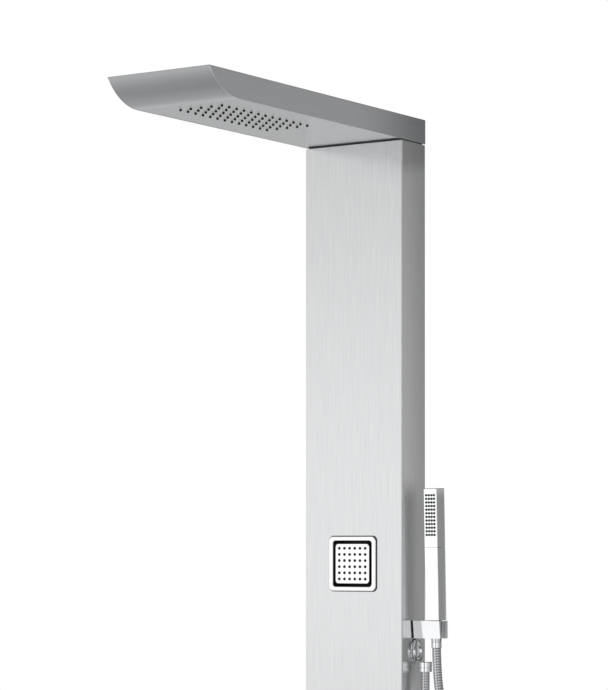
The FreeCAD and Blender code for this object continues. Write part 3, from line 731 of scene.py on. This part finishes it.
def makeArmUnderside():
    inner = arm["reveal"] + arm["sheet"]
    level = arm["top"] - arm["sheet"]
    outline = ([(-arm["sheet"], arm["bottom"] + arm["reveal"])] + noseOutline(arm["reveal"], level)
               + noseOutline(inner, level)[::-1] + [(-arm["sheet"], arm["bottom"] + inner)])
    half = arm["half"] - arm["sheet"]
    sheet = sheetOf("armUnderside", outline, -half, half)
    side = -(rain["columns"] - 1) / 2 * rain["pitch"]
    below, above = arm["bottom"] - near, arm["bottom"] + 4 * near
    holes = roundBar("holes", rain["holeRadius"], (side, rain["first"], below),
                     (side, rain["first"], above), sides=20)
    openings = [block(name + "Hole", (*armOpenings[name][0], below), (*armOpenings[name][1], above))
                for name in ("riser", "post")]
    bolts = roundBar("boltHoles", armOpenings["boltRadius"], (*armOpenings["bolt"], below),
                     (*armOpenings["bolt"], above), sides=16)
    gridOf(bolts, (2,), ((armOpenings["boltSpacing"], 0, 0),))
    cutAway(sheet, rainGrid(holes), *openings, bolts)
    smooth(sheet, 30)
    finishPiece(sheet, "panel", shadedArmSteel, ["arm_underside"])

    face = arm["bottom"] + arm["reveal"]
    tips = rainGrid(lathe("rainNozzles", rain["tip"], (side, rain["first"], face), steps=16))
    back = face + arm["sheet"]
    mat = block("mat", (-rain["chamberHalf"], rain["chamberEnds"][0], back),
                (rain["chamberHalf"], rain["chamberEnds"][1], back + rain["mat"]))
    stems = rainGrid(roundBar("stems", rain["stemRadius"],
                              (side, rain["first"], face + rain["tip"][0][1]),
                              (side, rain["first"], back + near / 2), sides=16))
    join(tips, mat, stems)
    smooth(tips)
    finishPiece(tips, "panel", silicone, ["rain_nozzle_mat"])


makeArmShell()
makeArmUnderside()
print("stage: arm made")


# column: the folded front with its openings

column = {
    "half": 0.090,
    "front": -0.070,
    "bottom": -1.251,
    "top": 0.149,
    "sheet": 0.0015,
    "fold": 0.002,
    "flange": 0.012,
    "jetOpening": 0.0377,
    "jets": {"upper": -0.509, "lower": -0.775},
    "controlRadius": 0.0173,
    "controls": {"diverter": -0.925, "temperature": -1.065},
    # radius, y and z of the holes in the right side: the outlet's and the holder's two screws
    "sideHoles": [(0.0102, -0.030, -0.646), (0.0026, -0.0285, -0.6045), (0.0026, -0.0285, -0.6185)],
}


def makeColumn():
    high, low = column["top"], column["bottom"]
    half, front, sheet = column["half"], column["front"], column["sheet"]
    shell = block("columnShell", (-half, front, low), (half, 0, high))
    roundCorners(shell, (0, 0, 1), column["fold"], 8)
    hollow = block("hollow", (-half + sheet, front + sheet, low - far),
                   (half - sheet, -sheet, high + far))
    roundCorners(hollow, (0, 0, 1), column["fold"] - sheet, 8)
    gap, opening = half - column["flange"], column["jetOpening"]
    cutters = [hollow, block("rearGap", (-gap, -2 * sheet, low - far), (gap, far, high + far))]
    for z in column["jets"].values():
        cutters.append(block("jetHole", (-opening, front - far, z - opening),
                             (opening, front + far, z + opening)))
    for z in column["controls"].values():
        cutters.append(roundBar("controlHole", column["controlRadius"], (0, front - far, z),
                                (0, front + far, z)))
    for radius, y, z in column["sideHoles"]:
        cutters.append(roundBar("sideHole", radius, (half - far, y, z), (half + far, y, z)))
    cutAway(shell, *cutters)
    smooth(shell, 30)
    finishPiece(shell, "panel", columnSteel, ["column_shell"])


makeColumn()
print("stage: column made")


# body jets

jet = {
    "seatHalf": 0.0440,
    "seatRadius": 0.008,
    "seatFront": -0.0710,
    "bezelHalf": 0.0432,
    "bezelRadius": 0.0075,
    "bezelFront": -0.0735,
    "bezelEdge": 0.0016,
    "opening": 0.036,
    "openingRadius": 0.005,
    "openingEdge": 0.0011,
    "sprayHalf": 0.03125,
    "sprayRadius": 0.005,
    "sprayFront": -0.0730,
    "sprayDepth": 0.0020,
    "sprayEdge": 0.0007,
    "count": 6,
    "pitch": 0.00965,
    "tip": [(0.0, 0.0), (0.0024, 0.0), (0.0022, 0.0007), (0.0017, 0.0010), (0.0011, 0.0010),
            (0.0009, 0.0003), (0.0, 0.0003)],
}


def roundPlate(name, half, front, back, z, radius, segments=8):
    plate = block(name, (-half, front, z - half), (half, back, z + half))
    roundCorners(plate, (0, 1, 0), radius, segments)
    return plate


def bevelFront(piece, level, width, test=lambda vertex: True):
    # round the edges in the plane y = level whose two ends pass the test
    pick(piece, "EDGE", lambda edge: all(
        abs(vertex.co.y - level) < flush and test(vertex) for vertex in edge.verts))
    bpy.ops.mesh.bevel(offset=width, segments=4, affect="EDGES")
    leaveEdit()


def makeJets():
    z = column["jets"]["upper"]

    def cutOpening(plate, front):
        cutAway(plate, roundPlate("opening", jet["opening"], front - near, column["front"] + near, z,
                                  jet["openingRadius"]))

    # the seat is a black seal that peeks out round the bezel; its dark rim is also painted shade for the
    # gap's shadow
    seat = roundPlate("upperJetSeat", jet["seatHalf"], jet["seatFront"], column["front"], z,
                      jet["seatRadius"], segments=10)
    cutOpening(seat, jet["seatFront"])
    bezel = roundPlate("upperJetBezel", jet["bezelHalf"], jet["bezelFront"], jet["seatFront"], z,
                       jet["bezelRadius"], segments=10)
    bevelFront(bezel, jet["bezelFront"], jet["bezelEdge"])
    cutOpening(bezel, jet["bezelFront"])
    reach = jet["opening"] + near / 5
    bevelFront(bezel, jet["bezelFront"], jet["openingEdge"],
               lambda vertex: max(abs(vertex.co.x), abs(vertex.co.z - z)) < reach)
    smooth(bezel, 40)
    smooth(seat, 40)

    plate = roundPlate("upperJetFace", jet["sprayHalf"], jet["sprayFront"],
                       jet["sprayFront"] + jet["sprayDepth"], z, jet["sprayRadius"])
    bevelFront(plate, jet["sprayFront"], jet["sprayEdge"])
    smooth(plate, 40)

    first = -(jet["count"] - 1) / 2 * jet["pitch"]
    tips = lathe("upperJetNozzles", jet["tip"], (first, jet["sprayFront"], z + first), (0, -1, 0),
                 steps=16)
    gridOf(tips, (jet["count"], jet["count"]), ((jet["pitch"], 0, 0), (0, 0, jet["pitch"])))
    smooth(tips)

    shift = (0, 0, column["jets"]["lower"] - z)
    made = {"upper": (bezel, plate, tips, seat)}
    made["lower"] = [copyOf(piece, piece.name.replace("upper", "lower"), shift)
                     for piece in made["upper"]]
    for name, (frontRing, face, nozzles, gasket) in made.items():
        finishPiece(frontRing, "panel", chrome, [name + "_jet_bezel"])
        finishPiece(gasket, "panel", sealAndShadeRubber)
        finishPiece(face, name + "_jet_spray", chrome, [name + "_jet_face"])
        finishPiece(nozzles, name + "_jet_spray", silicone, [name + "_jet_nozzles"])


makeJets()
print("stage: jets made")


# handset: a square bar with a spray field, leaning forwards in its holder

handset = {
    "x": 0.127,
    "y": -0.0285,
    "half": 0.012,
    "top": -0.3915,
    "seam": -0.4830,
    "seamGap": 0.0004,        # between the head and the handle, with a dark seal behind it
    "sealInset": 0.0015,
    "bottom": -0.5970,
    "edge": 0.0011,
    "lean": 1.9,              # degrees forwards
    "pivot": -0.6115,         # the height about which it leans
    "columns": 4,
    "rows": 12,
    "pitch": 0.0047,
    "rowPitch": 0.0056,
    "firstRow": 0.0105,
    "tip": [(0.0, 0.0), (0.0020, 0.0), (0.0019, 0.0006), (0.0015, 0.0009), (0.0010, 0.0009),
            (0.0008, 0.0002), (0.0, 0.0002)],
}


def leaning(piece):
    tilt(piece, (handset["x"], handset["y"], handset["pivot"]), (1, 0, 0), handset["lean"])
    return piece


def squareBar(name, low, high, inset=0, roundEnd=None):
    # a bar with rounded long edges, and with one rounded end: the upper (1) or the lower (-1)
    half = handset["half"] - inset
    bar = block(name, (handset["x"] - half, handset["y"] - half, low),
                (handset["x"] + half, handset["y"] + half, high))
    roundCorners(bar, (0, 0, 1), handset["edge"], 5)
    if roundEnd:
        pick(bar, "FACE", facing((0, 0, roundEnd)))
        bpy.ops.mesh.region_to_loop()
        bpy.ops.mesh.bevel(offset=handset["edge"], segments=5, affect="EDGES")
        leaveEdit()
    smooth(bar, 40)
    return leaning(bar)


def makeHandset():
    seam = handset["seam"]
    handleTop = seam - handset["seamGap"]
    head = squareBar("handsetHead", seam, handset["top"], roundEnd=1)
    finishPiece(head, "handset", chrome, ["handset_head"])
    handle = squareBar("handsetHandle", handset["bottom"], handleTop, roundEnd=-1)
    finishPiece(handle, "handset", chrome, ["handset_handle"])
    seal = squareBar("handsetSeal", handleTop - near, seam + near, handset["sealInset"])
    finishPiece(seal, "handset", silicone)

    side = handset["x"] - (handset["columns"] - 1) / 2 * handset["pitch"]
    lowest = handset["top"] - handset["firstRow"] - (handset["rows"] - 1) * handset["rowPitch"]
    tips = lathe("handsetNozzles", handset["tip"], (side, handset["y"] - handset["half"], lowest),
                 (0, -1, 0), steps=14)
    gridOf(tips, (handset["columns"], handset["rows"]),
           ((handset["pitch"], 0, 0), (0, 0, handset["rowPitch"])))
    smooth(tips)
    finishPiece(leaning(tips), "handset", silicone, ["handset_nozzles"])


makeHandset()
print("stage: handset made")


# hose's cone nut, holder, outlet

coneNut = {
    "bottom": -0.6400,
    "outline": [(0.0058, 0.0), (0.0074, 0.0), (0.0079, 0.0005), (0.0079, 0.0085), (0.00765, 0.0089),
                (0.00765, 0.0094), (0.0079, 0.0098), (0.0079, 0.0120), (0.01115, 0.0412),
                (0.0110, 0.0420), (0.0087, 0.0420), (0.0087, 0.0330), (0.0058, 0.0300), (0.0058, 0.0)],
    "ferrule": [(0.0, 0.0), (0.0055, 0.0), (0.0055, 0.0086), (0.0051, 0.0090), (0.0, 0.0090)],
}


def makeConeNut():
    foot = (handset["x"], handset["y"], coneNut["bottom"])
    nut = lathe("coneNut", coneNut["outline"], foot)
    smooth(nut, 40)
    finishPiece(leaning(nut), "handset", chrome, ["hose_cone_nut"])
    ferrule = lathe("hoseFerrule", coneNut["ferrule"], foot)
    smooth(ferrule, 40)
    finishPiece(leaning(ferrule), "hose_end", brass, ["hose_ferrule"])
    return nut, ferrule


holder = {
    # the black part is a seal, and its dark strip is also painted shade for the gap's shadow
    "gasket": 0.0024,         # thickness of the black part against the column
    "low": (0.090, -0.0415, -0.6252),   # two corners of the block
    "high": (0.140, -0.0155, -0.5978),
    "draft": 0.003,           # the front's lower edge is set back this far
    "edge": 0.0009,
    "slot": 0.015,
    "socket": [(0.0, -0.002), (0.0082, -0.002), (0.0082, 0.0120), (0.01150, 0.0420),
               (0.01183, 0.0450), (0.0, 0.0450)],
}


def sliceAt(piece, place, keepRight):
    # cut the piece at a place on x and keep one side, closed
    pick(piece, "FACE", lambda face: True)
    bpy.ops.mesh.bisect(plane_co=(place, 0, 0), plane_no=(1, 0, 0), use_fill=True,
                        clear_inner=keepRight, clear_outer=not keepRight)
    leaveEdit()
    tidyNormals(piece)


def makeHolder():
    x, y, halfSlot = handset["x"], handset["y"], holder["slot"] / 2
    low, high = holder["low"], holder["high"]
    body = block("handsetHolder", low, high)
    pick(body, "VERT", lambda vertex: vertex.co.y < low[1] + near and vertex.co.z < low[2] + near)
    bpy.ops.transform.translate(value=(0, holder["draft"], 0))
    leaveEdit()
    socket = leaning(lathe("socket", holder["socket"], (x, y, coneNut["bottom"])))
    slot = block("slot", (x, y - halfSlot, low[2] - far), (high[0] + far, y + halfSlot, high[2] + far))
    cutAway(body, socket, slot)
    # the black part against the column is a seal whose dark strip is also painted shade
    gasket = copyOf(body, "holderSealAndShade")
    split = low[0] + holder["gasket"]
    sliceAt(body, split, True)
    sliceAt(gasket, split, False)
    soften(body, holder["edge"], 3)
    smooth(gasket, 40)
    finishPiece(body, "panel", chrome, ["handset_holder"])
    finishPiece(gasket, "panel", sealAndShadeRubber)


outlet = {
    "height": -0.646,
    "y": -0.030,
    "rosette": [(0.0, 0.0), (0.0200, 0.0), (0.0200, 0.0012), (0.0193, 0.0026), (0.0165, 0.0038),
                (0.0112, 0.0040), (0.0, 0.0040)],
    "tubeRadius": 0.0095,
    "tubeSides": 36,
    "tubeStart": 0.002,
    "bend": 0.012,
    "bendSteps": 14,
    "end": 0.004,             # straight end between the bend and the hose's nut
    "tailRadius": 0.0099,     # threaded tail inside the column
    "tailLength": 0.016,
    "nut": [(0.0, 0.0), (0.0092, 0.0), (0.0104, 0.0009), (0.0104, 0.0062), (0.0099, 0.0066),
            (0.0099, 0.0072), (0.0104, 0.0076), (0.0104, 0.0151), (0.0096, 0.0160), (0.0, 0.0160)],
}


def makeOutlet():
    side, y, z = column["half"], outlet["y"], outlet["height"]
    rosette = lathe("outletElbow", outlet["rosette"], (side, y, z), (1, 0, 0))
    start, axis, bend = side + outlet["tubeStart"], hosePoints[0][0], outlet["bend"]
    quarter = math.radians(90)
    deselectAll()
    bpy.ops.mesh.primitive_circle_add(vertices=outlet["tubeSides"], radius=outlet["tubeRadius"],
                                      fill_type="NGON", location=(start, y, z),
                                      rotation=(0, quarter, 0))
    tube = bpy.context.object
    settle(tube)
    bpy.ops.object.mode_set(mode="EDIT")
    bpy.ops.mesh.select_all(action="SELECT")
    bpy.ops.mesh.extrude_region_move(TRANSFORM_OT_translate={"value": (axis - bend - start, 0, 0)})
    bpy.ops.mesh.spin(steps=outlet["bendSteps"], angle=quarter, center=(axis - bend, y, z - bend),
                      axis=(0, 1, 0))
    bpy.ops.mesh.extrude_region_move(TRANSFORM_OT_translate={"value": (0, 0, -outlet["end"])})
    leaveEdit()
    tail = roundBar("tail", outlet["tailRadius"], (side - outlet["tailLength"], y, z),
                    (side + near, y, z), sides=32)
    tidyNormals(tube)
    join(rosette, tube, tail)
    smooth(rosette, 35)
    finishPiece(rosette, "panel", chrome, ["outlet_elbow"])

    nutHeight = outlet["nut"][-1][1]
    nut = lathe("hoseEndNut", outlet["nut"], (axis, y, z - bend - outlet["end"] - nutHeight))
    smooth(nut, 40)
    finishPiece(nut, "panel", chrome, ["hose_end_nut"])
    return nut


handsetNut, handsetFerrule = makeConeNut()
makeHolder()
outletNut = makeOutlet()
print("stage: holder and outlet made")


# controls

control = {
    "escutcheonHalf": 0.031,
    "escutcheonRadius": 0.006,
    "escutcheonFront": -0.0745,
    "escutcheonEdge": 0.0012,
    "passageRadius": 0.0055,
    "passageEnds": (-0.09, -0.06),
    "knobHalf": 0.023,
    "knobRadius": 0.002,
    "knobBack": -0.0750,
    "knobFront": -0.0990,
    "knobEdge": 0.0010,
    "markWidth": 0.002,
    "markDepth": 0.0008,
    "markLength": 0.015,
    "spindle": 0.004,
    "spindleEnd": -0.048,
    # two corners of the stop button at rest, and of its pocket in the temperature knob
    "button": ((-0.005, -0.091, -1.0455), (0.005, -0.083, -1.0400)),
    "pocket": ((-0.0053, -0.0913, -1.0480), (0.0053, -0.0827, -1.0410)),
    "buttonEdge": 0.0008,
}


def makeControl(name, body):
    z = column["controls"][name]
    escutcheon = roundPlate(name + "Escutcheon", control["escutcheonHalf"], control["escutcheonFront"],
                            column["front"], z, control["escutcheonRadius"])
    bevelFront(escutcheon, control["escutcheonFront"], control["escutcheonEdge"])
    outer, inner = control["passageEnds"]
    cutAway(escutcheon, roundBar("passage", control["passageRadius"], (0, outer, z), (0, inner, z)))
    smooth(escutcheon, 35)
    finishPiece(escutcheon, "panel", chrome, [name + "_escutcheon"])

    knob = roundPlate(name + "Knob", control["knobHalf"], control["knobFront"], control["knobBack"], z,
                      control["knobRadius"], 5)
    bevelFront(knob, control["knobFront"], control["knobEdge"])
    half, top = control["markWidth"] / 2, z + control["knobHalf"]
    cutters = [block("mark", (-half, control["knobFront"] - near, top - control["markLength"]),
                     (half, control["knobFront"] + control["markDepth"], top + near))]
    if name == "temperature":
        cutters.append(block("pocket", *control["pocket"]))
    cutAway(knob, *cutters)
    join(knob, roundBar("spindle", control["spindle"], (0, control["knobBack"] - near, z),
                        (0, control["spindleEnd"], z), sides=24))
    smooth(knob, 35)
    finishPiece(knob, body, chrome, [name + "_knob"])


def makeButton():
    button = block("stopButton", *control["button"])
    soften(button, control["buttonEdge"], 3)
    finishPiece(button, "stop_button", chrome, ["stop_button"])


makeControl("diverter", "diverter_dial")
makeControl("temperature", "temperature_dial")
makeButton()
print("stage: controls made")


# studio

studio = {
    "floorHeight": -1.48,
    "floorSize": 60.0,
    "floorColour": rgb(0.62, 0.62, 0.62),
    "whiteFrom": 1.6,          # the camera sees the floor turn white between these distances
    "whiteTo": 4.5,
    "whiteNear": 0.25,         # from this share of white in the middle
    "mirrorFrom": 0.25,        # the metal sees the floor up to here, and the studio beyond
    "mirrorTo": 0.9,
    "fill": 0.75,              # light from all round
    "gloss": 1.0,              # brightness of what the metal sees
    # what the metal sees all round: left front at 0.41, camera at 0.59, right at 0.75, behind at 0, 1
    "round": [(0.0, 0.30), (0.05, 0.48), (0.094, 0.85), (0.13, 0.76), (0.19, 0.84), (0.25, 0.95),
              (0.32, 1.08), (0.42, 1.16), (0.49, 1.12), (0.53, 0.35), (0.565, 0.28), (0.58, 1.25),
              (0.61, 1.25), (0.63, 0.85), (0.66, 0.80), (0.71, 0.52), (0.80, 0.57), (0.906, 0.60),
              (0.95, 0.38), (1.0, 0.30)],
    # and from straight down at 0 to straight up at 1
    "height": [(0.0, 0.28), (0.09, 0.37), (0.11, 0.44), (0.153, 0.58), (0.224, 0.61), (0.35, 0.76),
               (0.397, 0.95), (0.407, 0.38), (0.44, 0.38), (0.45, 1.0), (0.505, 1.0), (0.53, 0.965),
               (0.575, 0.70), (0.64, 0.45), (0.75, 0.25), (1.0, 0.18)],
    # a card of painted shade behind the column, which only the metal sees in reflections: its place on y
    # and two corners in x and z
    "cardBack": 0.06,
    "cardLow": (-0.20, -1.30),
    "cardHigh": (0.60, 0.45),
    # heights between which the painted shade sets in: beside the handset from above and from below,
    # under the arm
    "cardHandset": ((-0.37, -0.41), (-0.72, -0.68)),
    "cardArm": (0.14, 0.11),
    # the bands of painted shade: level, where each sets in on X from one side and from the other, and at
    # which height
    "cardBands": [
        (0.75, (0.118, 0.104), (0.086, 0.094), "besideHandset"),
        (0.33, (0.178, 0.128), (0.112, 0.120), "belowArm"),
        (0.62, (0.148, 0.154), (0.174, 0.167), "besideHandset"),
        (0.52, (0.183, 0.189), None, "besideHandset"),
        (0.52, (0.260, 0.125), (0.092, 0.104), "besideArm"),
    ],
}


def makeFloor():
    deselectAll()
    bpy.ops.mesh.primitive_plane_add(size=studio["floorSize"], location=(0, 0, studio["floorHeight"]))
    floor = bpy.context.object
    floor.name = "floor"
    settle(floor)
    paint = bpy.data.materials.new("floorPaint")
    tree = Tree(paint)
    place = tree.add("ShaderNodeTexCoord", output="Object")
    apart = tree.add("ShaderNodeVectorMath", {"operation": "LENGTH"}, {0: place}, "Value")
    path = tree.add("ShaderNodeLightPath")
    toWhite = tree.range(apart, studio["whiteFrom"], studio["whiteTo"], studio["whiteNear"], 1.0,
                         "SMOOTHSTEP")
    toStudio = tree.range(apart, studio["mirrorFrom"], studio["mirrorTo"], 0.0, 1.0, "SMOOTHSTEP")
    matt = tree.add("ShaderNodeBsdfDiffuse", {}, {"Color": studio["floorColour"]})
    white = tree.add("ShaderNodeEmission", {}, {"Color": rgb(1, 1, 1), "Strength": 1.0})
    clear = tree.add("ShaderNodeBsdfTransparent", {}, {"Color": rgb(1, 1, 1)})
    seen = tree.add("ShaderNodeMixShader", {}, {0: path["Is Camera Ray"] * toWhite, 1: matt, 2: white})
    mixed = tree.add("ShaderNodeMixShader", {},
                     {0: path["Is Glossy Ray"] * toStudio, 1: seen, 2: clear})
    tree.add("ShaderNodeOutputMaterial", {}, {"Surface": mixed})
    floor.data.materials.append(paint)


def makeShadeCard():
    # painted shade in reflections: dark where the handset's far side and the rear of the column's side
    # and of the arm mirror it
    (left, bottom), (right, top) = studio["cardLow"], studio["cardHigh"]
    deselectAll()
    middle = ((left + right) / 2, studio["cardBack"], (bottom + top) / 2)
    bpy.ops.mesh.primitive_plane_add(size=1, location=middle, rotation=(math.radians(90), 0, 0))
    shadeCard = bpy.context.object
    shadeCard.name = "shadeCard"
    shadeCard.scale = (right - left, top - bottom, 1)
    settle(shadeCard)
    paint = bpy.data.materials.new("shadeCardPaint")
    tree = Tree(paint)
    place = tree.add("ShaderNodeSeparateXYZ", {}, {0: tree.add("ShaderNodeTexCoord", output="Object")})

    def soft(axis, start, end, level=1.0):
        return tree.range(place[axis], start, end, 0.0, level, "SMOOTHSTEP")

    fromAbove, fromBelow = studio["cardHandset"]
    belowArm = soft("Z", *studio["cardArm"])
    heights = {"besideHandset": soft("Z", *fromAbove) * soft("Z", *fromBelow),
               "belowArm": belowArm, "besideArm": 1 - belowArm}
    shadeBands = []
    for level, oneSide, otherSide, height in studio["cardBands"]:
        shadeBand = soft("X", *oneSide, level)
        if otherSide:
            shadeBand = shadeBand * soft("X", *otherSide)
        shadeBands.append(shadeBand * heights[height])
    # the painted shade: how dark the card is, the sum of its bands
    dark = sum(shadeBands[1:], shadeBands[0])
    clear = tree.add("ShaderNodeBsdfTransparent", {}, {"Color": rgb(1, 1, 1)})
    black = tree.add("ShaderNodeEmission", {}, {"Color": rgb(0, 0, 0), "Strength": 0.0})
    mixed = tree.add("ShaderNodeMixShader", {}, {0: dark, 1: clear, 2: black})
    tree.add("ShaderNodeOutputMaterial", {}, {"Surface": mixed})
    shadeCard.data.materials.append(paint)
    shadeCard.visible_camera = False
    shadeCard.visible_diffuse = False
    shadeCard.visible_transmission = False
    shadeCard.visible_shadow = False


def makeWorld():
    world = bpy.context.scene.world or bpy.data.worlds.new("studio")
    bpy.context.scene.world = world
    tree = Tree(world)
    way = tree.add("ShaderNodeSeparateXYZ", {}, {0: tree.add("ShaderNodeTexCoord", output="Generated")})
    turn = way["X"].math("ARCTAN2", way["X"], way["Y"] * -1)
    allRound = tree.ramp(turn * (0.5 / math.pi) + 0.5, studio["round"])
    upDown = tree.ramp(way["Z"] * 0.5 + 0.5, studio["height"])
    level = allRound * upDown * studio["gloss"]
    path = tree.add("ShaderNodeLightPath")
    reflected = tree.add("ShaderNodeBackground", {}, {"Color": rgb(1, 1, 1), "Strength": level})
    fill = tree.add("ShaderNodeBackground", {}, {"Color": rgb(1, 1, 1), "Strength": studio["fill"]})
    white = tree.add("ShaderNodeBackground", {}, {"Color": rgb(1, 1, 1), "Strength": 1.0})
    mirrored = path["Is Glossy Ray"] + path["Is Transmission Ray"]
    lit = tree.add("ShaderNodeMixShader", {}, {0: mirrored, 1: fill, 2: reflected})
    shown = tree.add("ShaderNodeMixShader", {}, {0: path["Is Camera Ray"], 1: lit, 2: white})
    tree.add("ShaderNodeOutputWorld", {}, {"Surface": shown})


lampTarget = (0, -0.1, -0.45)

lamps = {
    "leftKey": {"place": (-2.4, -2.6, 1.6), "size": 1.8, "power": 45},
    "rightFill": {"place": (2.7, -0.25, 0.2), "size": 0.8, "power": 10},
    "topFill": {"place": (0.3, -1.2, 2.6), "size": 2.4, "power": 30},
}


def makeLamps():
    target = Vector(lampTarget)
    for name, lamp in lamps.items():
        deselectAll()
        bpy.ops.object.light_add(type="AREA", location=lamp["place"])
        made = bpy.context.object
        made.name = name
        made.data.shape = "SQUARE"
        made.data.size = lamp["size"]
        made.data.energy = lamp["power"]
        made.rotation_mode = "QUATERNION"
        made.rotation_quaternion = (target - made.location).to_track_quat("-Z", "Y")
        made.visible_camera = False
        made.visible_glossy = False


makeFloor()
makeShadeCard()
makeWorld()
makeLamps()
bpy.context.scene.view_settings.view_transform = "Standard"
print("stage: studio made")
